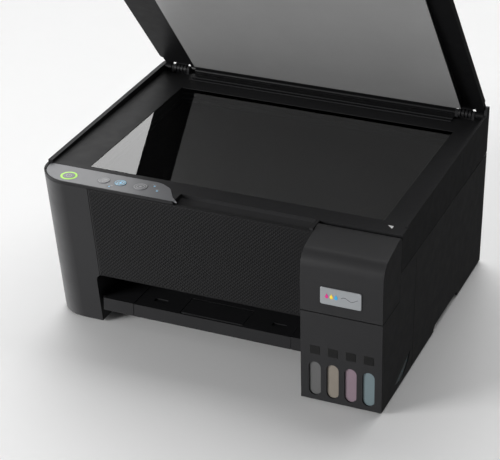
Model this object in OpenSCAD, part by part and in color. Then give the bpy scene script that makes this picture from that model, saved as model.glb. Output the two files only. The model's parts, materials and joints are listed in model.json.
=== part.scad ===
// Flatbed inkjet printer with a refillable ink tank unit.
// X runs to the right, Y to the back, Z up; the origin is under the middle of the case.

/* [Case] */
// Overall width
body_w = 375; // [370:1:380]
// Overall depth
body_d = 342; // [340:1:346]
// Height of the seam between the base and the scanner unit
seam_z = 130; // [129:0.5:131]
// Height of the parting line under the control panel
parting_z = 166.3; // [166:0.1:166.4]
// Thickness of the outer covers
wall = 2.5; // [2:0.1:3]
// How far the front face leans back per millimetre of height
front_lean = 0.18; // [0.16:0.01:0.19]
// Plan radius of the front left corner
corner_r = 34; // [28:1:36]

/* [Scanner] */
// Height of the margins around the glass
margin_z = 169; // [168.5:0.1:169.5]
// Height of the side rims at the back
rim_z = 176; // [175:0.5:177]
// Lid opening angle at rest, measured from closed
lid_rest = 48; // [0:1:85]
// Opening angle of the tank cover at rest
tank_cover_rest = 0; // [0:1:90]

/* [Ink tanks] */
// Left face of the tank unit
tank_x = 107; // [106:0.5:108]
// Distance between neighbouring tanks
tank_pitch = 17.8; // [17.5:0.1:18]
// Ink level above the floor
ink_level = 62; // [20:1:80]

/* [Hidden] */
$fn = 48;
gap = 0.4;
left_x = -body_w / 2;
right_x = body_w / 2;
back_y = body_d / 2;
tank_front_y = -body_d / 2;
floor_z = 2;
lean_angle = atan(front_lean);
front_top_y = -137;
front_top_z = 166;
rear_r = 4;
plate_z = 163;
front_strip_y = -104;
seam_x = -127.5;
slot_x = -131.5;
slot_top_z = 61;
slot_r = 7;
side_seam_y = -72;
tank_bulge_z = 135;
tank_lean = 0.06;
tank_seam_z = 100;
badge_z = 121;
path_x = -10;
paper_w = 210;

floor_front_y = -78;
screw_spots = [[-150, -72], [-150, 66], [-60, -40], [90, -40], [148, 60], [20, 100]];
neck_y = -134;
cover_ear_x = [110.1, 182.2];
window_r = 6;
window_z = [13, 39];
ear_x = [-156, 142];
inlet_x = -152;
usb_x = 150;
hinge_x = [-163, 163.5];
spine_x = [-146, 152.6];
tab_x = [-140, -122, -59, 49, 102];

// Hinge axes as [y, z]
lid_axis = [162, 173.6];
spine_r = 2.4;
end_barrel_x = [[-182, -174.4], [174.9, 183.7]];
end_barrel_r = 4.2;
rear_lip = [165.4, 173];
scanner_axis = [163, 139];
scanner_barrel_r = 8;
cover_axis = [-127, 162];
cover_barrel_r = 7;
cap_axis = [-117.5, 108];
support_axis = [166, 46.5];
stopper_axis = [-107, 30.4];

// Scanner
glass_lo = [-144, -96, 165.6];
glass_hi = [162, 122, 168.6];
panel_back_y = -103;
panel_front_y = -136;
frame_front_y = -119.5;
recess_x = [-36, 103];
rim_fall = 0.9;
panel_end_x = [-66, -32];

// Paper path rollers as [y, z, radius]
feed = [30, 50, 7];
eject = [-42, 50, 5];
star = [-42, 59.3, 4];
pickup = [140, 48, 13];
plate_l = [-168, -166.5];
plate_r = [176, 177.5];
gear_module = 0.8;
feed_teeth = 48;
pinion_teeth = 12;
pinion_angle = -20;
gear_distance = gear_module * (feed_teeth + pinion_teeth) / 2;
motor_at = [feed[0] + gear_distance * cos(pinion_angle), feed[1] + gear_distance * sin(pinion_angle)];

// Carriage drive
belt_y = [40, 44.5];
belt_z = 100;
belt_ends = [-156, 166];
pulley_r = 6;
carriage_home = 138;
carriage_w = 62;

// Output tray
tray_x = [-93.6, 76];
tray_front_y = -112;
tray_back_y = -4;
tray_z = [28.8, 31.8];

tank_names = ["black", "yellow", "magenta", "cyan"];
function tank_cx(i) = tank_x + 14.1 + i * tank_pitch;
function front_y(z) = front_top_y + front_lean * (front_top_z - z);
function tank_y(z) = tank_front_y + tank_lean * max(0, tank_bulge_z - z);

dark = "#262729";
darker = "#17181a";
mid = "#34363a";
steel = "#a9adb3";

// ---- Shapes used by several parts ----

// Box from corner lo to corner hi
module block(lo, hi) {
    translate(lo) cube(hi - lo);
}

// Rods along each axis; at holds the two other coordinates
module rod_x(x0, x1, at, r) {
    translate([x0, at[0], at[1]]) rotate([0, 90, 0]) cylinder(r = r, h = x1 - x0);
}

module rod_y(y0, y1, at, r) {
    translate([at[0], y0, at[1]]) rotate([-90, 0, 0]) cylinder(r = r, h = y1 - y0);
}

module rod_z(z0, z1, at, r) {
    translate([at[0], at[1], z0]) cylinder(r = r, h = z1 - z0);
}

// Side profile in [y, z], drawn out along X
module along_x(x0, x1) {
    translate([x0, 0, 0]) rotate([90, 0, 90]) linear_extrude(x1 - x0) children();
}

// Front profile in [x, z], drawn out along Y
module along_y(y0, y1) {
    translate([0, y1, 0]) rotate([90, 0, 0]) linear_extrude(y1 - y0) children();
}

// Plan outline in [x, y], drawn out along Z
module along_z(z0, z1) {
    translate([0, 0, z0]) linear_extrude(z1 - z0) children();
}

// Rectangle from corner lo to corner hi with rounded corners
module round_rect(lo, hi, r) {
    translate([lo[0] + r, lo[1]]) square([hi[0] - lo[0] - 2 * r, hi[1] - lo[1]]);
    translate([lo[0], lo[1] + r]) square([hi[0] - lo[0], hi[1] - lo[1] - 2 * r]);
    for (x = [lo[0] + r, hi[0] - r], y = [lo[1] + r, hi[1] - r]) translate([x, y]) circle(r);
}

// Case volume drawn in by inset: upright at the sides and back, leaning at the front
module case_volume(inset, z0, z1) {
    r = corner_r - inset;
    intersection() {
        translate([0, front_y(0), 0]) rotate([lean_angle, 0, 0]) translate([0, 0, -60])
            linear_extrude(300) translate([left_x + inset, inset]) {
                translate([r, r]) circle(r, $fn = 96);
                translate([r, 0]) square([body_w, body_d]);
                translate([0, r]) square([body_w, body_d * 1.5]);
            }
        along_z(z0, z1) round_rect([left_x + inset, tank_front_y - 40],
                                   [right_x - inset, back_y - inset], rear_r - inset);
    }
}

module case_shell(z0, z1) {
    difference() {
        case_volume(0, z0, z1);
        case_volume(wall, z0 - 1, z1 + 1);
    }
}

// Paper output slot under the front panel
module slot_cut() {
    along_y(-200, -60) round_rect([slot_x, -40], [tank_x + 30, slot_top_z], slot_r);
}

// Vertical plate with a rounded end around a hinge axis, standing on a deck at z0
module hinge_ear(x0, x1, at, r, z0) {
    rod_x(x0, x1, at, r);
    block([x0, at[0] - r, z0], [x1, at[0] + r, at[1]]);
}

module gear(teeth, x0, x1, at, turn) {
    r = gear_module * teeth / 2;
    step = 360 / teeth;
    root = r - 1.2 * gear_module;
    tip = r + 0.85 * gear_module;
    along_x(x0, x1) translate(at) rotate(turn) polygon([
        for (i = [0:teeth - 1], p = [[root, -0.27], [tip, -0.1], [tip, 0.1], [root, 0.27]])
            p[0] * [cos((i + p[1]) * step), sin((i + p[1]) * step)]
    ]);
}

// ---- Base ----

module base_case() color(darker) {
    difference() {
        union() {
            intersection() {
                case_volume(wall + gap, floor_z, 4.5);
                union() {
                    block([left_x, floor_front_y, 0], [right_x, back_y, 10]);
                    block([left_x, -200, 0], [slot_x - 2 - gap, floor_front_y, 10]);
                }
            }
            block([tank_x + 3, -156, floor_z], [right_x - 3.5, floor_front_y, 4.5]);
            for (y = [floor_front_y, back_y - 5.5]) block([-128, y, 4.5], [104, y + 2, 14]);
            for (x = [left_x + 3.5, right_x - 5.5]) block([x, -40, 4.5], [x + 2, 74, 14]);
            for (p = screw_spots) rod_z(4.5, 12, p, 4.5);
            // Uprights that carry the pickup roller
            for (x = [path_x - 121, path_x + 118]) hinge_ear(x, x + 3, [pickup[0], pickup[1]], 7, 4.4);
        }
        for (p = screw_spots) rod_z(0, 20, p, 1.55);
        rod_x(-200, 200, [pickup[0], pickup[1]], 4.05);
    }
}

module case_screws() color(steel) for (p = screw_spots) {
    rod_z(1, floor_z, p, 3);
    rod_z(floor_z, 9, p, 1.5);
}

module rubber_feet() color("#101112")
    for (p = [[-160, -84], [150, -146], [-165, 150], [165, 150]]) rod_z(0, floor_z, p, 7);

module left_side_cover() color(dark) {
    intersection() {
        case_shell(floor_z, parting_z - gap);
        difference() {
            union() {
                block([left_x - 1, -200, 0], [seam_x, side_seam_y - 0.5, 200]);
                block([left_x - 1, side_seam_y - 1, 0], [left_x + rear_r, back_y + 1, seam_z - gap]);
            }
            slot_cut();
            block([left_x - 1, front_strip_y - gap, plate_z - gap], [seam_x, side_seam_y, 200]);
        }
    }
    // Return wall beside the output slot
    intersection() {
        case_volume(wall, floor_z, slot_top_z + 3);
        block([slot_x - 2, -140, floor_z], [slot_x, floor_front_y - 0.5, slot_top_z - slot_r]);
    }
}

module right_side_cover() color(dark) intersection() {
    case_shell(floor_z, seam_z - 0.8);
    difference() {
        block([right_x - rear_r, side_seam_y + 0.8, 0], [right_x + 1, back_y + 1, seam_z]);
        along_x(right_x - 20, right_x + 2) round_rect([0, -6], [82, 8], 5);
    }
}

module rear_cover() color(dark) {
    difference() {
        intersection() {
            case_shell(floor_z, seam_z - gap);
            block([left_x + rear_r + gap, 150, 0], [right_x - rear_r - gap, back_y + 1, seam_z]);
        }
        block([path_x - 121, 150, 42], [path_x + 121, 180, seam_z + 1]);
        along_y(150, 180) round_rect([inlet_x - 12, 19], [inlet_x + 12, 35], 2);
        block([usb_x - 7, 150, 39], [usb_x + 7, 180, 52]);
        for (i = [0:5]) along_y(150, 180) round_rect([130, 66 + i * 8], [168, 69 + i * 8], 1.4);
    }
    // Ears that carry the paper support
    difference() {
        for (x = [path_x - 121, path_x + 118]) hinge_ear(x, x + 3, support_axis, 2.8, 30);
        rod_x(path_x - 130, path_x + 130, support_axis, 1.55);
    }
    for (x = [path_x - 121, path_x + 118]) block([x, 163, 28], [x + 3, back_y - wall, 36]);
    // Ears and pins that carry the scanner unit
    for (x = ear_x) {
        hinge_ear(x, x + 4, scanner_axis, 4.2, 118);
        block([x, 160, 112], [x + 4, back_y - wall, 122]);
        rod_x(x + 3, x + 10, scanner_axis, 2.5);
    }
}

module front_panel() color(mid) difference() {
    intersection() {
        case_shell(20, parting_z - gap);
        block([seam_x + gap, -200, slot_top_z - 6], [tank_x - gap, -90, 200]);
    }
    slot_cut();
}

module output_bed() color(darker) {
    difference() {
        union() {
            block([slot_x + gap, tray_front_y + 4, 29], [tank_x - gap, -49, 32]);
            for (x = [[slot_x + 4, tray_x[0] - gap], [tray_x[1] + gap, tank_x - gap]])
                block([x[0], tray_front_y, 18], [x[1], tray_front_y + 4.5, 32]);
        }
        block([tray_x[0] - gap, -130, 10], [tray_x[1] + gap, -40, 40]);
    }
    // Channel that the tray runs in
    for (x = [tray_x[0] - gap - 2, tray_x[1] + gap]) block([x, -100, 16], [x + 2, 0, 29]);
    block([tray_x[0] - gap - 2, -96, 14], [tray_x[1] + gap + 2, 0, 16]);
    for (x = [-70, 48]) block([x, floor_front_y + 3, 4.5], [x + 4, -20, 14]);
}

module output_tray() color(darker) {
    difference() {
        union() {
            block([tray_x[0], tray_front_y, tray_z[0]], [tray_x[1], tray_back_y, tray_z[1]]);
            block([tray_x[0], tray_front_y, 18], [tray_x[1], tray_front_y + 3, tray_z[1]]);
            for (x = [tray_x[0], tray_x[1] - 2])
                block([x, tray_front_y, 20], [x + 2, tray_back_y, tray_z[0]]);
        }
        block([path_x - 34, stopper_axis[0] - 3, 10], [path_x + 34, -78, 40]);
        rod_x(path_x - 40, path_x + 40, stopper_axis, 1.05);
        for (x = [-78, 50]) block([x, -98, tray_z[1] - 1], [x + 14, -92, 40]);
    }
}

module tray_stopper() color(darker) {
    block([path_x - 33.5, stopper_axis[0], 29], [path_x + 33.5, -79, tray_z[1]]);
    rod_x(path_x - 33.5, path_x + 33.5, stopper_axis, 1.4);
    rod_x(path_x - 38, path_x + 38, stopper_axis, 1);
}

// ---- Ink tank unit ----

// Outline of the tank unit below its cover, in [y, z]
module tank_profile(inset) {
    polygon([[tank_y(0) + inset, 0], [tank_y(tank_seam_z) + inset, tank_seam_z],
             [side_seam_y, tank_seam_z], [side_seam_y, 0]]);
}

// Window through the front wall for one tank
module window_cut(i) {
    along_y(-175, -160) translate([tank_cx(i), 0]) {
        for (z = window_z) translate([0, z]) circle(window_r);
        translate([-window_r, window_z[0]]) square([2 * window_r, window_z[1] - window_z[0]]);
    }
}

// Ear of the tank cover's hinge: it rises in front of the axis, clear of the cover's barrel
module cover_ear(x0, x1) {
    rod_x(x0, x1, cover_axis, 3.6);
    along_x(x0, x1) translate(cover_axis)
        polygon([[-2.5, 2.5], [0.6, -3.5], [-8, -16], [-8, 97 - cover_axis[1]],
                 [-16, 97 - cover_axis[1]], [-16, -12]]);
}

module tank_housing() color(dark) difference() {
    union() {
        intersection() {
            union() {
                along_x(tank_x, right_x) difference() {
                    tank_profile(0);
                    tank_profile(wall);
                }
                for (x = [tank_x, right_x - wall])
                    along_x(x, x + wall) tank_profile(0);
            }
            union() {
                block([tank_x, -200, floor_z], [right_x, -105.5, tank_seam_z - gap]);
                block([right_x - wall, -109, floor_z], [right_x, side_seam_y, tank_seam_z]);
            }
        }
        block([right_x - wall, -119.6, tank_seam_z - 1], [right_x, side_seam_y, seam_z - gap]);
        // Deck under the filler caps, and the wall behind the tanks
        block([tank_x + 1, tank_y(96) + 1, 95], [right_x - 1, -106, 98]);
        block([tank_x + 1, -108, 4.8], [right_x - 1, -105.5, 98]);
        // Wall beside the output slot
        block([tank_x, -110, 5], [tank_x + wall, -60, slot_top_z + 1]);
        for (x = cover_ear_x) cover_ear(x, x + 2.3);
        for (i = [0:3], s = [-5.6, 3.8])
            hinge_ear(tank_cx(i) + s, tank_cx(i) + s + 1.8, cap_axis, 2.2, 97);
    }
    for (i = [0:3]) {
        window_cut(i);
        rod_z(90, 100, [tank_cx(i), neck_y], 6.6);
        rod_y(-110, -100, [tank_cx(i), 14], 2.2);
    }
    rod_x(tank_x, right_x - wall, cover_axis, 1.85);
    rod_x(tank_x, right_x - wall, cap_axis, 1.15);
    crescent_cut();
}

// Shallow side window low on the right side: a circle cut off by a sloping chord
module crescent_cut() {
    along_x(right_x - 1.4, right_x + 2) difference() {
        translate([-108.5, 40]) circle(34);
        translate([-101, 17.8]) rotate(17.3) translate([-60, 0]) square([120, 80]);
    }
}

module tank_solid(i, inset, z0, z1) {
    x = tank_cx(i);
    along_x(x - 8.4 + inset, x + 8.4 - inset) polygon([
        [tank_y(z0) + 3.2 + inset, z0], [tank_y(z1) + 3.2 + inset, z1],
        [-110 - inset, z1], [-110 - inset, z0]]);
}

module ink_tanks() color("#c9ccce", 0.6) for (i = [0:3]) difference() {
    union() {
        tank_solid(i, 0, 5, 92);
        rod_z(91, 105, [tank_cx(i), neck_y], 6.2);
        rod_y(-111, -106.5, [tank_cx(i), 14], 2);
    }
    tank_solid(i, 1.2, 6.2, 90.8);
    rod_z(90, 106, [tank_cx(i), neck_y], 5);
    rod_y(-112, -106, [tank_cx(i), 14], 1.2);
}

module ink(i) tank_solid(i, 1.5, 6.5, ink_level);
module ink_black() color("#3a3a3c") ink(0);
module ink_yellow() color("#d9c8a2") ink(1);
module ink_magenta() color("#c99bb4") ink(2);
module ink_cyan() color("#8fb9c4") ink(3);

// Filler cap: plug, disc, lifting tab and the arm to its hinge
module cap(i) {
    x = tank_cx(i);
    rod_z(102, 106, [x, neck_y], 3.8);
    rod_z(105.4, 110, [x, neck_y], 7.2);
    block([x - 3.5, neck_y - 13, 106.5], [x + 3.5, neck_y, 108.5]);
    block([x - 3.5, neck_y, 106.5], [x + 3.5, cap_axis[0], 109.5]);
    rod_x(x - 3.5, x + 3.5, cap_axis, 2.2);
    rod_x(x - 5.6, x + 5.6, cap_axis, 1.1);
}

module cap_black() color("#2c2d30") cap(0);
module cap_yellow() color("#d8b93c") cap(1);
module cap_magenta() color("#b0447c") cap(2);
module cap_cyan() color("#3a8fb0") cap(3);

cover_slope = 11.6;
cover_fillet_r = 16;

// Side outline of the tank cover in [y, z], drawn in by inset
module cover_outline(inset) {
    r = cover_barrel_r - inset;
    top = cover_axis + r * [-sin(cover_slope), cos(cover_slope)];
    front = tank_front_y + inset;
    corner_z = top[1] - (top[0] - front) * tan(cover_slope);
    f = cover_fillet_r - inset;
    reach = f / tan((90 + cover_slope) / 2);
    centre = [front + f, corner_z - reach];
    bottom = tank_seam_z + 0.6 - inset * 4;
    translate(cover_axis) circle(r);
    translate(centre) circle(f);
    polygon([
        [cover_axis[0] + r, cover_axis[1]], [cover_axis[0] + r, bottom],
        [tank_y(bottom) + inset, bottom], [front, tank_bulge_z], [front, centre[1]],
        centre + f * [-sin(cover_slope), cos(cover_slope)], top
    ]);
}

module tank_cover() color(dark) rotate_about(cover_axis, tank_cover_rest) {
    difference() {
        along_x(tank_x, right_x) cover_outline(0);
        along_x(tank_x + wall, right_x - wall) cover_outline(wall);
        // Clear behind the skin, so that only the front, the top and the side flaps remain
        block([tank_x + wall, -125, 90], [right_x - wall, -110, cover_axis[1]]);
    }
    rod_x(tank_x + wall - 0.5, tank_x + 8, cover_axis, 1.8);
    rod_x(right_x - 8, right_x - wall + 0.5, cover_axis, 1.8);
}

// Turns its children up and back about an axis along X at [y, z]
module rotate_about(at, angle) {
    translate([0, at[0], at[1]]) rotate([-angle, 0, 0]) translate([0, -at[0], -at[1]]) children();
}

module badge_plate() color("silver") rotate_about(cover_axis, tank_cover_rest)
    translate([147, tank_y(badge_z), badge_z]) rotate([atan(tank_lean), 0, 0])
        along_y(-0.9, 0) round_rect([-20, -9], [20, 9], 1.6);

module ink_tubes() color("#8d9094", 0.7) for (i = [0:3]) {
    x = tank_cx(i);
    end_y = -66 + i * 5;
    rod_y(-106, end_y, [x, 14], 1.8);
    translate([x, end_y, 14]) sphere(1.8);
    rod_z(14, 26, [x, end_y], 1.8);
}

// ---- Print mechanism ----

module chassis_frame() color(steel) {
    difference() {
        union() {
            block([plate_l[1], 46, 56], [plate_r[0], 47.5, 118]);
            block([plate_l[1], 32, 116.5], [plate_r[0], 46, 118]);
            block([plate_l[1], 32, 112], [plate_r[0], 33.5, 117]);
            for (p = [plate_l, plate_r]) block([p[0], -50, 4.6], [p[1], 66, 118]);
        }
        for (r = [feed, eject]) rod_x(-200, 200, [r[0], r[1]], 4.05);
        rod_x(-200, 200, [star[0], star[1]], 1.55);
        rod_x(-200, plate_l[1] + 1, motor_at, 3);
        rod_y(40, 50, [belt_ends[1], belt_z], 3.5);
    }
    rod_y(39.7, 46.5, [belt_ends[0], belt_z], 2);
}

module platen() color("#1d1e20") {
    block([path_x - 112, -32, 44], [path_x + 112, 18, 55]);
    for (i = [0:10]) block([path_x - 101 + i * 20, -30, 55], [path_x - 99 + i * 20, 16, 57]);
    for (x = [path_x - 112, path_x + 104]) block([x, -10, 4.6], [x + 8, 10, 44]);
}

module feed_roller() color("#8b8f94") {
    rod_x(-178, 182, [feed[0], feed[1]], 4);
    for (i = [0:4]) rod_x(path_x - 100 + i * 42, path_x - 80 + i * 42 + 12, [feed[0], feed[1]], feed[2]);
    gear(feed_teeth, -176, -170.5, [feed[0], feed[1]], pinion_angle);
}

module feed_pinion() color("#d8d4c8") {
    gear(pinion_teeth, -176, -170.5, motor_at, pinion_angle + 180 + 180 / pinion_teeth);
    rod_x(-176, -158, motor_at, 1.5);
}

module feed_motor() color("#6d7075") difference() {
    rod_x(plate_l[1], -142, motor_at, 12);
    rod_x(plate_l[1] - 1, -157, motor_at, 1.6);
}

module eject_roller() color("#55585c") {
    rod_x(-174, 180, [eject[0], eject[1]], 4);
    for (i = [0:6]) rod_x(path_x - 96 + i * 30, path_x - 84 + i * 30, [eject[0], eject[1]], eject[2]);
}

module star_wheels() color(steel) {
    rod_x(-169, 178, [star[0], star[1]], 1.5);
    for (i = [0:6]) along_x(path_x - 91 + i * 30, path_x - 89 + i * 30) translate([star[0], star[1]])
        polygon([for (k = [0:23]) (k % 2 == 0 ? star[2] : star[2] - 1) * [cos(k * 15), sin(k * 15)]]);
}

module pickup_roller() color("#4a4d50") {
    rod_x(path_x - 122.5, path_x + 122.5, [pickup[0], pickup[1]], 4);
    rod_x(path_x - 22, path_x + 22, [pickup[0], pickup[1]], pickup[2]);
}

module pulley(x, y1) {
    rod_y(belt_y[0], belt_y[1], [x, belt_z], pulley_r);
    rod_y(belt_y[0] - 0.8, belt_y[0], [x, belt_z], pulley_r + 1.6);
    rod_y(belt_y[1], y1, [x, belt_z], 2.6);
}

module motor_pulley() color("#c9a24a") {
    pulley(belt_ends[1], 46);
    rod_y(46, 58, [belt_ends[1], belt_z], 1.5);
}

module idler_pulley() color("#d8d4c8") difference() {
    pulley(belt_ends[0], 45.5);
    rod_y(30, 50, [belt_ends[0], belt_z], 2.05);
}

module timing_belt() color("#1b1b1c") along_y(belt_y[0] + 0.3, belt_y[1] - 0.3) difference() {
    belt_loop(pulley_r + 1.5);
    belt_loop(pulley_r + 0.35);
}

module belt_loop(r) {
    for (x = belt_ends) translate([x, belt_z]) circle(r);
    translate([belt_ends[0], belt_z - r]) square([belt_ends[1] - belt_ends[0], 2 * r]);
}

module carriage_motor() color("#6d7075") difference() {
    rod_y(47.6, 74, [belt_ends[1], belt_z], 10);
    rod_y(47, 59, [belt_ends[1], belt_z], 1.6);
}

module print_carriage() color("#1f2022") {
    x0 = carriage_home - carriage_w / 2;
    x1 = carriage_home + carriage_w / 2;
    strand = belt_z - pulley_r - 1.5;
    difference() {
        block([x0, -40, 66], [x1, 36, 109]);
        block([x0 + 3, -37, 72], [x1 - 3, 20, 112]);
    }
    for (i = [0:3]) block([x0 + 6 + i * 13.3, -34, 72], [x0 + 16 + i * 13.3, 14, 84]);
    block([carriage_home - 7, 36, strand - 5], [carriage_home + 7, 44, strand - 0.4]);
    block([carriage_home - 7, 36, strand + 1.7], [carriage_home + 7, 44, strand + 4.5]);
}

module print_head() color("#b9bcc0") {
    block([carriage_home - 24, -28, 62.5], [carriage_home + 24, 14, 66]);
    block([carriage_home - 16, -24, 61], [carriage_home + 16, 10, 62.5]);
}

module capping_station() color("#2a2b2e") {
    difference() {
        block([112, -34, 30], [168, 20, 59.5]);
        for (i = [0:3]) block([124 + i * 8.5, -26, 54], [130 + i * 8.5, 12, 62]);
    }
    block([118, -28, 4.6], [162, 14, 30]);
}

// ---- Electrics ----

module mainboard() color("#2f6b3c") {
    block([166, 74, 18], [167.6, 160, 108]);
    difference() {
        block([usb_x - 6, 152, 40], [usb_x + 6, 168.4, 51]);
        block([usb_x - 4.3, 155, 41.8], [usb_x + 4.3, 170, 49.4]);
    }
    block([usb_x + 6, 152, 42], [166, 160, 49]);
    for (i = [0:2]) block([161, 84 + i * 20, 70], [166, 96 + i * 20, 84]);
}

module power_supply() color("#3a3c40") difference() {
    block([-182, 78, 5], [-134, 146, 62]);
    block([-180, 80, 8], [-136, 144, 70]);
}

module ac_inlet() color("#101113") {
    difference() {
        along_y(148, back_y - 1) round_rect([inlet_x - 11.6, 19.4], [inlet_x + 11.6, 34.6], 2);
        along_y(158, back_y + 1) round_rect([inlet_x - 9, 22.6], [inlet_x + 9, 31.4], 4.35);
    }
    for (s = [-4.3, 4.3]) rod_y(157, 164, [inlet_x + s, 27], 1.2);
}

// ---- Rear paper feed ----

module paper_support() color(dark) difference() {
    union() {
        block([path_x - 117, 164, support_axis[1]], [path_x + 117, 167.3, seam_z - 3]);
        rod_x(path_x - 117, path_x + 117, support_axis, 2.4);
        rod_x(path_x - 120.5, path_x + 120.5, support_axis, 1.5);
        // Rails that hold the extension
        for (s = [[path_x - 75, path_x - 70.4], [path_x + 70.4, path_x + 75]])
            block([s[0], 167, 52], [s[1], back_y, seam_z - 6]);
        // Skirts that fill the rear opening beside the extension
        for (s = [[path_x - 120, path_x - 82], [path_x + 82, path_x + 120]])
            block([s[0], 167, 52], [s[1], back_y, seam_z - 3]);
    }
    block([path_x - 106, 160, 62], [path_x + 106, 164.6, 66]);
}

module support_extension() color(mid) {
    block([path_x - 70, 167.7, 54], [path_x + 70, back_y - 0.4, seam_z - 5]);
    block([path_x - 30, 167.7, seam_z - 5], [path_x + 30, back_y - 0.4, seam_z - 3]);
}

module edge_guide(x, s) {
    block([min(x, x + s * 3), 152, 50], [max(x, x + s * 3), 163.6, 88]);
    block([min(x, x + s * 16), 161, 52], [max(x, x + s * 16), 163.6, 76]);
    block([min(x, x + s * 12), 163, 62.4], [max(x, x + s * 12), 164.3, 65.6]);
}

module edge_guide_left() color(mid) edge_guide(path_x - paper_w / 2, 1);
module edge_guide_right() color(mid) edge_guide(path_x + paper_w / 2, -1);

// ---- Scanner unit ----

// Plan of the scanner unit's top: leaning front on the left, cut back behind the tank cover
module frame_cut() {
    block([tank_x - 0.5, -200, 0], [200, frame_front_y, 300]);
}

// Volume of the scanner unit above the parting lines, drawn in by inset
module scanner_volume(inset, z0, z1) {
    difference() {
        case_volume(inset, z0, z1);
        translate([0, inset, 0]) frame_cut();
        // The rear wall is set back between the corners
        block([path_x - 122 - inset, back_y - 4 - inset, 0], [path_x + 122 + inset, back_y + 1, 300]);
    }
}

// Everything below the parting line in front of the side seam is left to the base
module below_parting() {
    block([left_x - 1, -200, 0], [tank_x - 0.5, side_seam_y, plate_z]);
    block([left_x - 1, -200, 0], [tank_x - 0.5, front_strip_y, parting_z]);
    block([left_x - 1, -200, 0], [right_x + 1, side_seam_y - 60, plate_z]);
    block([left_x - 1, -200, 0], [right_x + 1, back_y + 1, seam_z + gap]);
}

// Removes the square edge under the rear hinge and leaves a barrel around the axis
module barrel_cut() {
    along_x(left_x - 1, right_x + 1) difference() {
        translate([scanner_axis[0], scanner_axis[1] - 14]) square([20, 14]);
        translate(scanner_axis) circle(scanner_barrel_r);
    }
}

// Room around the base's hinge ears
module ear_cut() {
    for (x = ear_x) block([x - 1, 150, 100], [x + 4.8, 175, scanner_axis[1] + 9]);
}

// Control panel outline; its right end runs forward in a soft curve
module panel_outline(inset) {
    r = corner_r - 3 - inset;
    cx = left_x + 3 + inset + r;
    front = panel_front_y + inset;
    back = panel_back_y - inset;
    intersection() {
        translate([cx, front + r]) circle(r, $fn = 96);
        translate([left_x, front]) square([60, back - front]);
    }
    translate([cx, front]) square([panel_end_x[0] - cx, back - front]);
    polygon([
        [panel_end_x[0] - 1, front], [panel_end_x[1] - inset * 1.6, front],
        [panel_end_x[1] - 8 - inset, front + 8], [panel_end_x[0] + 16 - inset, back - 8],
        [panel_end_x[0] + 6 - inset, back - 1.5], [panel_end_x[0] - 1, back]
    ]);
}

power_at = [-154, -123];
wifi_at = [-117.5, -120];
copy_at = [-100, -119];
stop_at = [-78.5, -119];
light_at = [[-107, -129.5], [-66.5, -112.5], [-60, -121]];
button_r = 5.8;
power_r = 6.2;
stop_r = 6.8;
ring_r = 8.4;

module button_holes(extra) {
    translate(power_at) circle(ring_r + extra);
    for (p = [wifi_at, copy_at]) translate(p) circle(button_r + extra);
    translate(stop_at) circle(stop_r + extra);
    for (p = light_at) translate(p) circle(1 + extra);
}

module scanner_frame() color(dark) {
    difference() {
        scanner_volume(0, seam_z + gap, rim_z);
        // Hollow under the top plate
        scanner_volume(wall, 0, plate_z);
        below_parting();
        // Top inside the rims
        difference() {
            block([left_x + 4.7, -180, margin_z], [right_x - 3, rear_lip[0], 300]);
            block([tank_x - 0.5, -200, 0], [200, frame_front_y - 1, 300]);
        }
        block([left_x - 1, -200, margin_z + 0.6], [right_x + 1, panel_back_y, 300]);
        // Low lip along the back, behind the lid's hinge
        block([left_x + 4.7, rear_lip[0] - 1, rear_lip[1]], [right_x - 3, back_y + 10, 300]);
        for (x = [[left_x + 4.7, spine_x[0] - 6], [spine_x[1], right_x - 3]])
            block([x[0], rear_lip[0] - 1, margin_z], [x[1], rear_lip[0] + 1.5, 300]);
        // Rims fall towards the front
        translate([left_x - 1, back_y - 20, rim_z]) rotate([rim_fall, 0, 0])
            translate([0, -400, 0]) cube([body_w + 2, 400, 20]);
        // Glass rebate and window
        block(glass_lo - [0.3, 0.3, 0], [glass_hi[0] + 0.3, glass_hi[1] + 0.3, 300]);
        block([glass_lo[0] + 3, glass_lo[1] + 3, 150], [glass_hi[0] - 3, glass_hi[1] - 3, 300]);
        // Control panel pocket
        along_z(margin_z - 1.4, 300) panel_outline(0);
        along_z(150, 300) button_holes(2);
        recess_cut();
        barrel_cut();
        ear_cut();
        // Clearance for the lid hinges
        for (x = hinge_x) block([x - 10.5, lid_axis[0] - 6, margin_z - 2], [x + 10.5, lid_axis[0] + 6, 300]);
    }
    // Trough of the finger recess
    difference() {
        block([recess_x[0] - 2, -132.8, 158.2], [recess_x[1] + 2, -113, parting_z + 1]);
        recess_cut();
    }
    // Shoulder beside the right end of the lid's hinge
    intersection() {
        case_volume(0, 170, 200);
        hinge_ear(right_x - 3, right_x + 1, [back_y - 7, rim_z + 1], 7, 170);
    }
    // Ledges and tabs in front of the lid's spine
    block([spine_x[0], 151.5, 168], [spine_x[1], 158.5, margin_z + 1.2]);
    block([spine_x[0], 145.2, 168], [spine_x[1], 147.4, margin_z + 0.8]);
    for (x = tab_x) block([x, 158, 168], [x + 3, 160, margin_z + 1.6]);
    // Lugs beside each lid hinge
    difference() {
        for (x = hinge_x, s = [-10.5, 7.5]) hinge_ear(x + s, x + s + 3, lid_axis, 3.6, margin_z - 3);
        for (x = hinge_x) rod_x(x - 20, x + 20, lid_axis, 2.05);
    }
}

// Finger recess in the front edge, with a sloping floor
module recess_cut() {
    along_x(recess_x[0], recess_x[1])
        polygon([[-160, 161], [-134, 161], [-119.5, 165.5], [-118, 167.5], [-118, 190], [-160, 190]]);
}

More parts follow.
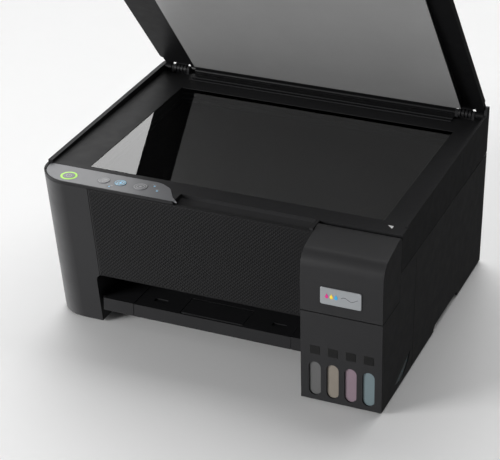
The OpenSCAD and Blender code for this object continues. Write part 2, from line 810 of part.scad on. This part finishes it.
module scanner_tray() color(darker) difference() {
    union() {
        difference() {
            along_z(seam_z + 1, plate_z - 0.2)
                round_rect([left_x + 3.2, -101], [right_x - 3.2, back_y - 7.4], 8);
            along_z(seam_z + 3, 200) round_rect([left_x + 5.2, -99], [right_x - 5.2, back_y - 9.4], 6);
        }
        for (x = ear_x) hinge_ear(x + 5, x + 9, scanner_axis, 4.5, seam_z + 1.5);
    }
    for (x = ear_x) rod_x(x, x + 12, scanner_axis, 2.55);
    ear_cut();
    barrel_cut();
}

module scanner_glass() color("#9fb4b8", 0.35) block(glass_lo, glass_hi);

module control_panel() color("#7b7d80") difference() {
    along_z(margin_z - 1.3, margin_z - 0.1) panel_outline(0.3);
    along_z(150, 300) button_holes(0.25);
}

module key(at, r) {
    rod_z(margin_z - 5, margin_z + 0.3, at, r);
    rod_z(margin_z - 5, margin_z - 4, at, r + 1);
}

module power_button() color("#77797d") key(power_at, power_r);
module wifi_button() color("#6f7175") key(wifi_at, button_r);
module copy_button() color("#6f7175") key(copy_at, button_r);
module stop_button() color("#6f7175") key(stop_at, stop_r);

module power_light() color("#9bd84a") along_z(margin_z - 2.4, margin_z + 0.1)
    translate(power_at) difference() {
        circle(ring_r);
        circle(power_r + 0.35);
    }

module status_lights() color("#5db4e6") {
    for (p = light_at) rod_z(margin_z - 3, margin_z, p, 1);
}

module scan_rail() color(steel) block([-178, 8, seam_z + 3], [178, 16, seam_z + 7]);

module scan_carriage() color("#1a1b1d") {
    difference() {
        block([-140, -92, 141], [-112, 116, 161]);
        block([-131, -88, 158], [-121, 112, 165]);
    }
    for (y = [4.5, 16.5]) block([-136, y, 135], [-116, y + 3, 141]);
}

// ---- Document lid, drawn closed and turned open about its hinge ----

lid_lo = [-185, -117.5];
lid_rear_x = [-182.2, 183.9];
lid_rear_y = 148;
lid_bottom = 176.6;
lid_top = 183.2;
mat_lo = [-141, -100, 169.6];
mat_hi = [162.6, 144.6];

module lid_plan(inset) {
    difference() {
        round_rect([lid_lo[0] + inset, lid_lo[1] + inset], [-lid_lo[0] - inset, lid_rear_y], 4);
        polygon([[-190, panel_back_y + 1.5 + inset], [-58 + inset, panel_back_y + 1.5 + inset],
                 [-46 + inset, lid_lo[1] - 1], [-190, lid_lo[1] - 1]]);
    }
    translate([lid_rear_x[0] + inset, lid_rear_y - 20])
        square([lid_rear_x[1] - lid_rear_x[0] - 2 * inset, lid_axis[0] - lid_rear_y + 20]);
}

module document_lid() color(dark) rotate_about(lid_axis, lid_rest) {
    difference() {
        along_z(lid_bottom, lid_top) lid_plan(0);
        along_z(lid_bottom + 2, lid_top - 2.4) difference() {
            lid_plan(wall);
            translate([-200, lid_axis[0] - 10]) square([400, 40]);
        }
        for (x = hinge_x) {
            block([x - 11, lid_axis[0] - 6.5, 160], [x + 11, lid_axis[0] + 6.5, lid_top - 2.4]);
            block([x - 7.3, lid_axis[0] - 11, lid_bottom + 2], [x + 7.3, lid_axis[0], lid_top - 2.4]);
        }
    }
    // Spine between the hinges
    rod_x(spine_x[0], spine_x[1], lid_axis, spine_r);
    for (x = end_barrel_x) rod_x(x[0], x[1], lid_axis, end_barrel_r);
    block([spine_x[0], lid_axis[0] - 1.6, lid_axis[1]], [spine_x[1], lid_axis[0], lid_bottom + 1]);
}

// Foam-backed mat: level when the lid is shut, while the lid slopes with the side rims
module document_mat() color("#8d8f91") rotate_about(lid_axis, lid_rest + rim_fall)
    along_x(mat_lo[0], mat_hi[0]) polygon([
        [mat_lo[1], mat_lo[2]], [mat_hi[1], mat_lo[2]],
        [mat_hi[1], mat_top(mat_hi[1])], [mat_lo[1], mat_top(mat_lo[1])]]);

function mat_top(y) = lid_axis[1] + (lid_bottom - lid_axis[1] - 0.02) / cos(rim_fall)
    - (lid_axis[0] - y) * tan(rim_fall);

module lid_hinges() color("#141517") rotate_about(lid_axis, lid_rest) for (x = hinge_x) {
    for (i = [0:3]) rod_x(x - 7 + i * 3.8, x - 7 + i * 3.8 + 2.4, lid_axis, 4.6);
    rod_x(x - 7, x + 7, lid_axis, 3.6);
    rod_x(x - 10.4, x + 10.4, lid_axis, 2);
    block([x - 7, lid_axis[0] - 3, lid_axis[1]], [x + 7, lid_axis[0], lid_bottom + 4]);
    block([x - 7, lid_axis[0] - 18, lid_bottom + 2.2], [x + 7, lid_axis[0], lid_bottom + 4]);
}

base_case();
left_side_cover();
right_side_cover();
rear_cover();
front_panel();
tank_housing();
rubber_feet();
output_bed();
ink_tanks();
ink_black();
ink_yellow();
ink_magenta();
ink_cyan();
chassis_frame();
platen();
carriage_motor();
timing_belt();
feed_motor();
capping_station();
mainboard();
power_supply();
ac_inlet();
ink_tubes();
case_screws();
motor_pulley();
idler_pulley();
print_carriage();
print_head();
feed_roller();
feed_pinion();
eject_roller();
star_wheels();
pickup_roller();
tank_cover();
badge_plate();
cap_black();
cap_yellow();
cap_magenta();
cap_cyan();
output_tray();
tray_stopper();
paper_support();
support_extension();
edge_guide_left();
edge_guide_right();
scanner_frame();
scanner_tray();
scanner_glass();
control_panel();
power_button();
power_light();
wifi_button();
copy_button();
stop_button();
status_lights();
document_lid();
document_mat();
lid_hinges();
scan_carriage();
scan_rail();
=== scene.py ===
"""Looks of a flatbed inkjet printer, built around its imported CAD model.

Everything is in metres in the frame of the CAD model: X to the right, Y to the back, Z up.
The CAD pieces keep their shapes. They get rounded edges and materials here, and small
details ride on their bodies: embossing, window panes, labels, icons and the badge's drops.
"""
import json
import math

import bpy
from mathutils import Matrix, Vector


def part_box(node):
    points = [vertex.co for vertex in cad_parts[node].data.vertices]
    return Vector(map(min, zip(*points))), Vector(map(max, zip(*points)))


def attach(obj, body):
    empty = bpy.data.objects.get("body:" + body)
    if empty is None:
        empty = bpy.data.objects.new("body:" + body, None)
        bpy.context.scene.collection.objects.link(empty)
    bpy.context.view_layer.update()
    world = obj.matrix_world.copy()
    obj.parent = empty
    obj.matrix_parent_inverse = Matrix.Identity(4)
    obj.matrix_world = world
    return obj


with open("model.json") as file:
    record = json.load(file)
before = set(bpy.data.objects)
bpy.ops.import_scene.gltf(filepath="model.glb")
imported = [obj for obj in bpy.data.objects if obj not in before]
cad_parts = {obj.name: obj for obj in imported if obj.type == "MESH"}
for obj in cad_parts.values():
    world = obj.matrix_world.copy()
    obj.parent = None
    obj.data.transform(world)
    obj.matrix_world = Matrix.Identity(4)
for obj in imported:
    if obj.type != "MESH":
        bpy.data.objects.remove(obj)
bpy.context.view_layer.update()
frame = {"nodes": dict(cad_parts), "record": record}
nodes = frame["nodes"]
MM = 0.001

# ---- Camera ----

CAMERA_TARGET = Vector((-0.0135, 0.0, 0.0783))
CAMERA_DISTANCE = 1.8441
CAMERA_AZIMUTH = 22.59
CAMERA_ELEVATION = 27.28
LENS_MM = 128.85


def direction(azimuth, elevation):
    """Unit vector from the object towards a viewer; azimuth 0 is straight in front."""
    a, e = math.radians(azimuth), math.radians(elevation)
    return Vector((math.sin(a) * math.cos(e), -math.cos(a) * math.cos(e), math.sin(e)))


def look_at(obj, target):
    obj.rotation_euler = (Vector(target) - obj.location).to_track_quat("-Z", "Y").to_euler()


camera = bpy.data.objects.new("camera", bpy.data.cameras.new("camera"))
bpy.context.scene.collection.objects.link(camera)
camera.data.lens = LENS_MM
camera.data.sensor_width = 36.0
camera.location = CAMERA_TARGET + CAMERA_DISTANCE * direction(CAMERA_AZIMUTH, CAMERA_ELEVATION)
look_at(camera, CAMERA_TARGET)
bpy.context.scene.camera = camera
bpy.context.scene.view_settings.view_transform = "Standard"


# ---- Materials ----

def add(tree, kind, inputs=None, **settings):
    """Adds a node. Inputs are values, or sockets to link from."""
    node = tree.nodes.new(kind)
    for key, value in settings.items():
        setattr(node, key, value)
    for key, value in (inputs or {}).items():
        if isinstance(value, bpy.types.NodeSocket):
            tree.links.new(value, node.inputs[key])
        else:
            node.inputs[key].default_value = value
    return node


def blank_material(name):
    material = bpy.data.materials.new(name)
    material.use_nodes = True
    material.node_tree.nodes.clear()
    return material, material.node_tree


def noise(tree, coordinates, size, detail=2.0):
    """Noise whose blobs are about size metres across."""
    return add(tree, "ShaderNodeTexNoise", {"Vector": coordinates, "Scale": 0.5 / size,
                                            "Detail": detail}).outputs["Fac"]


def ramp(tree, value, start, end, low, high):
    """Maps start..end onto low..high and holds the value beyond both ends."""
    return add(tree, "ShaderNodeMapRange", {"Value": value, "From Min": start, "From Max": end,
                                            "To Min": low, "To Max": high}).outputs["Result"]


def spread(tree, source, low, high):
    """Maps the middle of a noise onto low..high."""
    return ramp(tree, source, 0.3, 0.7, low, high)


def mix_colours(tree, factor, colour, variation):
    """Colour that wanders between a little darker and a little lighter."""
    mix = tree.nodes.new("ShaderNodeMix")
    mix.data_type = "RGBA"
    tree.links.new(factor, mix.inputs["Factor"])
    sockets = [s for s in mix.inputs if s.type == "RGBA"]
    sockets[0].default_value = [c * (1 - variation) for c in colour] + [1.0]
    sockets[1].default_value = [min(1.0, c * (1 + variation)) for c in colour] + [1.0]
    return [s for s in mix.outputs if s.type == "RGBA"][0]


def paint_side_shade(tree, tint):
    """Paints shade onto faces that look along X: they turn black, standing in for shade on those
    sides. Other faces keep their colour.
    """
    facing = add(tree, "ShaderNodeTexCoord").outputs["Normal"]
    sideways = add(tree, "ShaderNodeSeparateXYZ", {"Vector": facing}).outputs["X"]
    sideways = add(tree, "ShaderNodeMath", {0: sideways}, operation="ABSOLUTE").outputs[0]
    kept = ramp(tree, sideways, 0.1, 0.4, 1.0, 0.03)
    return add(tree, "ShaderNodeVectorMath", {0: tint, "Scale": kept},
               operation="SCALE").outputs["Vector"]


def moulded(name, colour, roughness, grain=0.7 * MM, depth=0.02 * MM, variation=0.08,
            metallic=0.0, specular=0.5, coat=0.0, stretch=(1.0, 1.0, 1.0), painted_side_shade=False):
    """Solid surface: soft colour variation, uneven gloss and a fine grain, and optionally painted
    shade that turns the faces looking along X black.
    """
    material, tree = blank_material(name)
    where = add(tree, "ShaderNodeTexCoord").outputs["Object"]
    where = add(tree, "ShaderNodeMapping", {"Vector": where, "Scale": stretch}).outputs["Vector"]
    cloudy = noise(tree, where, 30 * MM, 3.0)
    tint = mix_colours(tree, cloudy, colour, variation)
    # Painted shade: faces looking along X are turned black, as if they were in shade.
    if painted_side_shade:
        tint = paint_side_shade(tree, tint)
    gloss = spread(tree, noise(tree, where, 6 * MM, 4.0), roughness * 0.92, roughness * 1.08)
    bump = add(tree, "ShaderNodeBump", {"Height": noise(tree, where, grain, 3.0),
                                        "Strength": 1.0, "Distance": depth})
    shader = add(tree, "ShaderNodeBsdfPrincipled", {
        "Base Color": tint, "Roughness": gloss, "Metallic": metallic,
        "Specular IOR Level": specular, "Coat Weight": coat, "Coat Roughness": 0.15,
        "Normal": bump.outputs["Normal"]})
    add(tree, "ShaderNodeOutputMaterial", {"Surface": shader.outputs["BSDF"]})
    return material


def glassy(name, colour, roughness, ior):
    """Thin clear sheet: mostly see-through, with a sharp reflection."""
    material, tree = blank_material(name)
    where = add(tree, "ShaderNodeTexCoord").outputs["Object"]
    smears = spread(tree, noise(tree, where, 25 * MM, 4.0), roughness, roughness * 1.6)
    clear = add(tree, "ShaderNodeBsdfTransparent", {"Color": colour + (1.0,)})
    gloss = add(tree, "ShaderNodeBsdfGlossy", {"Color": (1, 1, 1, 1), "Roughness": smears})
    fresnel = add(tree, "ShaderNodeFresnel", {"IOR": ior})
    both = add(tree, "ShaderNodeMixShader", {0: fresnel.outputs["Fac"], 1: clear.outputs["BSDF"],
                                             2: gloss.outputs["BSDF"]})
    add(tree, "ShaderNodeOutputMaterial", {"Surface": both.outputs["Shader"]})
    return material


def glowing(name, colour, strength):
    """Light guide: a coloured face that glows unevenly along its length."""
    material, tree = blank_material(name)
    where = add(tree, "ShaderNodeTexCoord").outputs["Object"]
    glow = spread(tree, noise(tree, where, 4 * MM), strength * 0.8, strength * 1.2)
    shader = add(tree, "ShaderNodeBsdfPrincipled", {
        "Base Color": mix_colours(tree, noise(tree, where, 2 * MM), colour, 0.1),
        "Roughness": 0.4, "Emission Color": colour + (1.0,), "Emission Strength": glow})
    add(tree, "ShaderNodeOutputMaterial", {"Surface": shader.outputs["BSDF"]})
    return material


BLACK = (0.022, 0.022, 0.023)
LID_BLACK = (0.006, 0.006, 0.0065)
INK = {"ink_black": (0.10, 0.10, 0.105), "ink_yellow": (0.62, 0.50, 0.30),
       "ink_magenta": (0.50, 0.28, 0.40), "ink_cyan": (0.25, 0.45, 0.52)}
SLOT_MATERIALS = {
    "case": moulded("case", BLACK, 0.46, grain=0.8 * MM, depth=0.03 * MM, specular=0.17),
    "case_panel": moulded("case_panel", (0.006, 0.006, 0.0065), 0.45, specular=0.15),
    "inner": moulded("inner", (0.010, 0.010, 0.011), 0.5, specular=0.25),
    "glass": glassy("glass", (0.62, 0.66, 0.66), 0.012, 1.75),
    "fascia": moulded("fascia", (0.15, 0.153, 0.162), 0.38, grain=0.5 * MM, depth=0.01 * MM),
    "key": moulded("key", (0.17, 0.173, 0.183), 0.3, grain=0.5 * MM, depth=0.008 * MM),
    "power_light": glowing("power_light", (0.32, 0.62, 0.07), 0.55),
    "status_light": glowing("status_light", (0.25, 0.5, 0.7), 0.2),
    # The mat's sides get painted shade: they are turned black in place of the shade that falls on
    # them.
    "mat": moulded("mat", (0.24, 0.24, 0.24), 0.3, grain=2 * MM, depth=0.008 * MM, coat=0.3,
                   painted_side_shade=True),
    "tank": moulded("tank", (0.5, 0.51, 0.52), 0.3, specular=0.5),
    "cap_black": moulded("cap_black", (0.05, 0.05, 0.055), 0.4),
    "cap_yellow": moulded("cap_yellow", (0.7, 0.5, 0.06), 0.4),
    "cap_magenta": moulded("cap_magenta", (0.5, 0.06, 0.22), 0.4),
    "cap_cyan": moulded("cap_cyan", (0.04, 0.28, 0.5), 0.4),
    "badge": moulded("badge", (0.35, 0.365, 0.38), 0.3, metallic=0.3, grain=0.3 * MM,
                     stretch=(0.04, 1.0, 1.0)),
    "feet": moulded("feet", (0.03, 0.03, 0.03), 0.8, grain=1.2 * MM, depth=0.08 * MM),
    "sheet_steel": moulded("sheet_steel", (0.5, 0.51, 0.53), 0.35, metallic=1.0,
                           grain=0.5 * MM, stretch=(0.05, 1.0, 1.0)),
    "shaft": moulded("shaft", (0.35, 0.36, 0.38), 0.3, metallic=1.0, grain=0.4 * MM,
                     stretch=(0.1, 1.0, 1.0)),
    "roller_rubber": moulded("roller_rubber", (0.12, 0.12, 0.125), 0.75, depth=0.08 * MM),
    "nylon": moulded("nylon", (0.75, 0.72, 0.65), 0.45),
    "brass": moulded("brass", (0.72, 0.55, 0.25), 0.3, metallic=1.0),
    "belt": moulded("belt", (0.03, 0.03, 0.03), 0.7, grain=1.5 * MM, depth=0.1 * MM),
    "motor": moulded("motor", (0.35, 0.36, 0.38), 0.4, metallic=0.8),
    "circuit_board": moulded("circuit_board", (0.05, 0.25, 0.1), 0.4, variation=0.2),
    "tube": moulded("tube", (0.35, 0.36, 0.37), 0.3),
    "screw": moulded("screw", (0.45, 0.46, 0.48), 0.35, metallic=1.0),
}
for slot_name, colour in INK.items():
    SLOT_MATERIALS[slot_name] = moulded(slot_name, colour, 0.25, coat=0.3)

PAINT = {
    "label_black": moulded("label_black", (0.006, 0.006, 0.006), 0.3),
    "pane_black": moulded("pane_black", (0.105, 0.105, 0.105), 0.3, coat=0.4),
    "pane_yellow": moulded("pane_yellow", (0.215, 0.19, 0.16), 0.3, coat=0.4),
    "pane_magenta": moulded("pane_magenta", (0.215, 0.16, 0.19), 0.3, coat=0.4),
    "pane_cyan": moulded("pane_cyan", (0.14, 0.185, 0.2), 0.3, coat=0.4),
    "icon_pale": moulded("icon_pale", (0.42, 0.42, 0.43), 0.5),
    "icon_dark": moulded("icon_dark", (0.05, 0.05, 0.055), 0.5),
    "icon_blue": glowing("icon_blue", (0.22, 0.55, 0.78), 0.35),
    "white_mark": moulded("white_mark", (0.75, 0.75, 0.75), 0.5),
    "side_window": moulded("side_window", (0.003, 0.022, 0.03), 0.12, coat=0.5),
    "drop_magenta": moulded("drop_magenta", (0.62, 0.02, 0.22), 0.3),
    "drop_yellow": moulded("drop_yellow", (0.85, 0.6, 0.05), 0.3),
    "drop_cyan": moulded("drop_cyan", (0.03, 0.35, 0.65), 0.3),
}

# ---- CAD pieces: materials and rounded edges ----

EDGE_RADIUS = {
    "tank_cover": 1.3, "tank_housing": 1.0, "left_side_cover": 1.0, "right_side_cover": 1.0,
    "rear_cover": 1.0, "scanner_frame": 0.9, "front_panel": 0.7, "document_lid": 1.4,
    "document_mat": 0.5, "control_panel": 0.5, "output_bed": 1.0, "output_tray": 1.0,
    "tray_stopper": 0.6, "badge_plate": 0.3, "paper_support": 0.8, "support_extension": 0.8,
    "power_button": 0.3, "wifi_button": 0.3, "copy_button": 0.3, "stop_button": 0.3,
    "cap_black": 0.5, "cap_yellow": 0.5, "cap_magenta": 0.5, "cap_cyan": 0.5,
}
SHARP_ANGLE = math.radians(32)
FLAT_ANGLE = math.radians(0.6)


def round_edges(obj, radius):
    """Joins the CAD triangles into flat faces again, then rounds the edges between them."""
    weld = obj.modifiers.new("weld", "WELD")
    weld.merge_threshold = 1e-5
    flatten = obj.modifiers.new("flatten", "DECIMATE")
    flatten.decimate_type = "DISSOLVE"
    flatten.angle_limit = FLAT_ANGLE
    bevel = obj.modifiers.new("round", "BEVEL")
    bevel.width = radius * MM
    bevel.segments = 3
    bevel.limit_method = "ANGLE"
    bevel.angle_limit = SHARP_ANGLE
    bevel.use_clamp_overlap = True
    bevel.miter_outer = "MITER_ARC"
    normals = obj.modifiers.new("normals", "WEIGHTED_NORMAL")
    normals.keep_sharp = True


slot_of = {part["node"]: part["material_slot"] for part in frame["record"]["subparts"]}
NODE_MATERIALS = {
    "document_lid": moulded("lid_case", LID_BLACK, 0.42, grain=0.8 * MM, specular=0.15),
    "scanner_frame": moulded("frame_case", BLACK, 0.5, grain=0.8 * MM, depth=0.03 * MM,
                             specular=0.07),
}
for node_name, node in nodes.items():
    material = NODE_MATERIALS.get(node_name, SLOT_MATERIALS[slot_of[node_name]])
    if not node.material_slots:
        node.data.materials.append(material)
    for material_slot in node.material_slots:
        material_slot.material = material
    if node_name in EDGE_RADIUS:
        round_edges(node, EDGE_RADIUS[node_name])


# ---- Small details ----

def new_piece(name, points, faces, material, body, radius=0.0):
    """Mesh piece in metres that rides on a body and takes the material it is given."""
    mesh = bpy.data.meshes.new(name)
    mesh.from_pydata(points, [], faces)
    mesh.update()
    piece = bpy.data.objects.new(name, mesh)
    bpy.context.scene.collection.objects.link(piece)
    mesh.materials.append(material)
    if radius:
        bevel = piece.modifiers.new("round", "BEVEL")
        bevel.width = radius * MM
        bevel.segments = 2
        bevel.limit_method = "ANGLE"
        bevel.angle_limit = SHARP_ANGLE
    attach(piece, body)
    return piece


def prisms(name, outlines, place, depth, material, body, radius=0.0):
    """Flat shapes raised by depth. Outlines are anticlockwise lists of (u, v) in millimetres,
    and place(u, v, w) puts a point in space, with w the height above the surface."""
    points, faces = [], []
    for outline in outlines:
        first, count = len(points), len(outline)
        points += [place(u, v, 0.0) for u, v in outline]
        points += [place(u, v, depth) for u, v in outline]
        faces.append([first + count + k for k in range(count)])
        faces.append([first + k for k in reversed(range(count))])
        for k in range(count):
            after = (k + 1) % count
            faces.append([first + k, first + after, first + count + after, first + count + k])
    return new_piece(name, points, faces, material, body, radius)


def arc_band(centre, inner, outer, start=0.0, end=360.0, steps=28):
    """Pieces of a ring between two angles in degrees, each a convex outline."""
    bands = []
    for k in range(steps):
        a0 = math.radians(start + (end - start) * k / steps)
        a1 = math.radians(start + (end - start) * (k + 1) / steps)
        bands.append([(centre[0] + r * math.cos(a), centre[1] + r * math.sin(a))
                      for r, a in ((inner, a0), (outer, a0), (outer, a1), (inner, a1))])
    return bands


def disc(centre, radius, steps=24):
    return [(centre[0] + radius * math.cos(2 * math.pi * k / steps),
             centre[1] + radius * math.sin(2 * math.pi * k / steps)) for k in range(steps)]


def bar(x0, y0, x1, y1):
    return [(x0, y0), (x1, y0), (x1, y1), (x0, y1)]


def frame_bars(x0, y0, x1, y1, t):
    """Outline of a rectangle drawn with bars of thickness t."""
    return [bar(x0, y0, x1, y0 + t), bar(x0, y1 - t, x1, y1),
            bar(x0, y0 + t, x0 + t, y1 - t), bar(x1 - t, y0 + t, x1, y1 - t)]


def drop(centre, radius, height, steps=20):
    """Teardrop with its point up."""
    shape = []
    for k in range(steps):
        a = 2 * math.pi * k / steps - math.pi / 2
        rise = math.sin(a)
        narrow = 1.0 if rise < 0 else 1.0 - 0.85 * rise
        shape.append((centre[0] + radius * narrow * math.cos(a),
                      centre[1] + (radius * rise if rise < 0 else height * rise)))
    return shape


# Tank windows, their labels and the badge sit on the front of the tank unit, which leans
# back a little below its bulge
TANK_FRONT = -171.0
TANK_LEAN = 0.06
BULGE_Z = 135.0
TANK_X = [121.1 + 17.8 * i for i in range(4)]
TANK_NAMES = ("black", "yellow", "magenta", "cyan")
WINDOW_Z = (13.0, 39.0)
WINDOW_RADIUS = 5.9
WINDOW_OFFSET = -1.9
LABEL_Z = (54.0, 63.0)
LABEL_HALF_WIDTH = 5.0


def tank_face(offset):
    """Places (u, v) = (x, z) on the tank unit's front, offset millimetres outwards."""

    def place(u, v, w):
        y = TANK_FRONT + TANK_LEAN * max(0.0, BULGE_Z - v) - offset - w
        return (u * MM, y * MM, v * MM)
    return place


def capsule(x, z0, z1, r, steps=12):
    """Upright slot shape with its end circles centred at heights z0 and z1."""
    shape = []
    for centre, start in ((z1, 0.0), (z0, math.pi)):
        angles = (start + math.pi * k / steps for k in range(steps + 1))
        shape += [(x + r * math.cos(a), centre + r * math.sin(a)) for a in angles]
    return shape


for x, ink_name in zip(TANK_X, TANK_NAMES):
    prisms("window_" + ink_name, [capsule(x, *WINDOW_Z, WINDOW_RADIUS)],
           tank_face(WINDOW_OFFSET), 0.5, PAINT["pane_" + ink_name], "base",
           0.25)
    label = bar(x - LABEL_HALF_WIDTH, LABEL_Z[0], x + LABEL_HALF_WIDTH, LABEL_Z[1])
    prisms("label_" + ink_name, [label], tank_face(0.02), 0.25, PAINT["label_black"], "base",
           0.1)

badge_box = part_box("badge_plate")
badge_mid = 0.5 * (badge_box[0][0] + badge_box[1][0]) / MM
badge_z = 0.5 * (badge_box[0][2] + badge_box[1][2]) / MM
badge_face = tank_face(0.86)
for ink_name, shift in (("magenta", -13.5), ("yellow", -9.0), ("cyan", -4.5)):
    outline = drop((badge_mid + shift, badge_z - 0.6), 1.7, 3.6)
    prisms("drop_" + ink_name, [outline], badge_face, 0.2, PAINT["drop_" + ink_name],
           "tank_flap", 0.05)

WAVE_START = badge_mid + 0.5
WAVE_STEP = 0.68
WAVE_HEIGHT = 1.5
WAVE_RATE = 0.45
WAVE_HALF_THICKNESS = 0.25
wave = []
for k in range(24):
    u0, u1 = (WAVE_START + step * WAVE_STEP for step in (k, k + 1))
    v0, v1 = (badge_z + WAVE_HEIGHT * math.sin((u - badge_mid) * WAVE_RATE) for u in (u0, u1))
    wave.append([(u0, v0 - WAVE_HALF_THICKNESS), (u1, v1 - WAVE_HALF_THICKNESS),
                 (u1, v1 + WAVE_HALF_THICKNESS), (u0, v0 + WAVE_HALF_THICKNESS)])
prisms("badge_wave", wave, badge_face, 0.12, PAINT["icon_dark"], "tank_flap")


# Control panel: symbols on the keys and marks beside them
def key_top(node_name):
    """Places (u, v) in millimetres around the middle of a key's top."""
    low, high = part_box(node_name)
    cx, cy, top = 0.5 * (low[0] + high[0]), 0.5 * (low[1] + high[1]), high[2]

    def place(u, v, w):
        return (cx + u * MM, cy + v * MM, top + w * MM)
    return place


SYMBOL = 0.06


def key_symbol(name, key, outlines, paint):
    """Symbol printed on top of a key, which it moves with."""
    prisms(name, outlines, key_top(key + "_button"), SYMBOL, PAINT[paint], key + "_key")


signal_foot = (0, -2.4)
signal = [disc(signal_foot, 0.6)]
for inner, steps in ((1.9, 10), (3.5, 12), (5.0, 14)):
    signal += arc_band(signal_foot, inner, inner + 0.7, 45, 135, steps)
key_symbol("power_symbol", "power",
           arc_band((0, -0.2), 2.3, 3.0, 125, 415) + [bar(-0.35, 0.2, 0.35, 3.3)], "icon_pale")
key_symbol("wifi_symbol", "wifi", signal, "icon_pale")
key_symbol("copy_symbol", "copy",
           frame_bars(-3.0, -3.2, 1.0, 1.4, 0.6) + frame_bars(-0.6, -1.4, 3.2, 3.2, 0.6),
           "icon_blue")
key_symbol("copy_ring", "copy", arc_band((0, 0), 5.1, 5.6), "icon_blue")
key_symbol("wifi_ring", "wifi", arc_band((0, 0), 5.2, 5.6), "icon_pale")
key_symbol("stop_symbol", "stop",
           arc_band((0, 0), 5.9, 6.5) + arc_band((0, 0), 3.6, 4.2) + [disc((0, 0), 1.3)],
           "icon_pale")



def level(height):
    """Places (u, v) = (x, y) on a flat face at a height in millimetres."""
    return lambda u, v, w: (u * MM, v * MM, (height + w) * MM)


panel_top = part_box("control_panel")[1][2] / MM
prisms("panel_marks", [bar(-69.5, -110.3, -65.5, -109.9), bar(-62.5, -118.9, -58.5, -118.5),
                       bar(-110.0, -127.3, -104.0, -126.9)],
       level(panel_top), SYMBOL, PAINT["icon_pale"], "scanner")

# Arrow at the glass corner where a page is lined up
MARGIN_TOP = 169.0
prisms("page_arrow", [[(168.3, -104.3), (173.8, -109.8), (173.8, -104.3)]], level(MARGIN_TOP),
       SYMBOL, PAINT["white_mark"], "scanner")

# Tinted pane in the recess low on the right side
CRESCENT_CENTRE = (-108.5, 40.0)
CRESCENT_R = 33.6
CHORD_POINT = (-101.0, 17.3)
CHORD_ANGLE = math.radians(17.3)
SIDE_WINDOW_X = 186.2
crescent = []
for degrees in range(180, 361):
    a = math.radians(degrees)
    y = CRESCENT_CENTRE[0] + CRESCENT_R * math.cos(a)
    z = CRESCENT_CENTRE[1] + CRESCENT_R * math.sin(a)
    if (z - CHORD_POINT[1]) * math.cos(CHORD_ANGLE) < (y - CHORD_POINT[0]) * math.sin(CHORD_ANGLE):
        crescent.append((y, z))
prisms("side_window", [crescent], lambda u, v, w: ((SIDE_WINDOW_X + w) * MM, u * MM, v * MM),
       0.7, PAINT["side_window"], "base", 0.2)

# Embossed diamonds on the front panel
PANEL_X = (-127, 106)
PANEL_Z = (62, 165)
DIAMOND = 4
RELIEF = 0.3
RELIEF_FOOT = 0.02
RELIEF_EDGE = -0.1
FRONT_AT = (-137.0, 166.0)
FRONT_LEAN = 0.18


def triangle_wave(t):
    """Zigzag between 0 and 1 with a period of 1."""
    return 2.0 * abs(t - math.floor(t + 0.5))


relief_points, relief_faces = [], []
columns = PANEL_X[1] - PANEL_X[0] + 1
rows = PANEL_Z[1] - PANEL_Z[0] + 1
for row in range(rows):
    for column in range(columns):
        x, z = PANEL_X[0] + column, PANEL_Z[0] + row
        raised = min(triangle_wave((x + z) / DIAMOND), triangle_wave((x - z) / DIAMOND))
        edge = row in (0, rows - 1) or column in (0, columns - 1)
        height = RELIEF_EDGE if edge else RELIEF_FOOT + RELIEF * raised
        y = FRONT_AT[0] + FRONT_LEAN * (FRONT_AT[1] - z) - height
        relief_points.append((x * MM, y * MM, z * MM))
for row in range(rows - 1):
    for column in range(columns - 1):
        first = row * columns + column
        relief_faces.append([first, first + 1, first + columns + 1, first + columns])
new_piece("diamond_relief", relief_points, relief_faces, SLOT_MATERIALS["case_panel"], "base")


# ---- Stage and light ----

def area_light(name, place, target, size, power):
    """White rectangular lamp, with its size in metres and its power in watts."""
    light = bpy.data.objects.new(name, bpy.data.lights.new(name, "AREA"))
    light.data.shape = "RECTANGLE"
    light.data.size, light.data.size_y = size
    light.data.energy = power
    light.location = place
    look_at(light, target)
    bpy.context.scene.collection.objects.link(light)


FLOOR_REACH = 6.0
floor_mesh = bpy.data.meshes.new("floor")
floor_mesh.from_pydata([(u * FLOOR_REACH, v * FLOOR_REACH, 0)
                        for u, v in ((-1, -1), (1, -1), (1, 1), (-1, 1))], [], [(0, 1, 2, 3)])
floor = bpy.data.objects.new("floor", floor_mesh)
bpy.context.scene.collection.objects.link(floor)
floor_mesh.materials.append(moulded("floor", (0.80, 0.80, 0.80), 0.6, grain=3 * MM,
                                    depth=0.02 * MM, variation=0.01))
floor.visible_glossy = False

area_light("overhead", (0.1, 1.1, 2.1), (0.1, 0.3, 0), (2.4, 1.6), 30)
area_light("front_left", (-1.55, -1.65, 0.55), (0, 0, 0.2), (1.0, 0.8), 58)

# Surroundings: dark, with a bright patch behind and above on the left for the glass to mirror.
# Towards the horizon they are bright on the left only, which lights the left cover's edge.
PATCH_DIRECTION = Vector((-0.42, 0.80, 0.42)).normalized()
world = bpy.data.worlds.new("world")
bpy.context.scene.world = world
world.use_nodes = True
sky = world.node_tree
sky.nodes.clear()
outward = add(sky, "ShaderNodeTexCoord").outputs["Generated"]
towards = add(sky, "ShaderNodeVectorMath", {0: outward, 1: PATCH_DIRECTION},
              operation="DOT_PRODUCT").outputs["Value"]
axes = add(sky, "ShaderNodeSeparateXYZ", {"Vector": outward}).outputs
glow_back = ramp(sky, towards, 0.70, 0.985, 0.16, 2.5)
glow_left = ramp(sky, axes["X"], -0.3, -0.9, 0.08, 2.6)
above = ramp(sky, axes["Z"], 0.0, 0.3, 0.0, 1.0)
mixed = add(sky, "ShaderNodeMix", {0: above, 2: glow_left, 3: glow_back})
backdrop = add(sky, "ShaderNodeBackground", {"Color": (1, 1, 1, 1),
                                             "Strength": mixed.outputs[0]})
add(sky, "ShaderNodeOutputWorld", {"Surface": backdrop.outputs["Background"]})
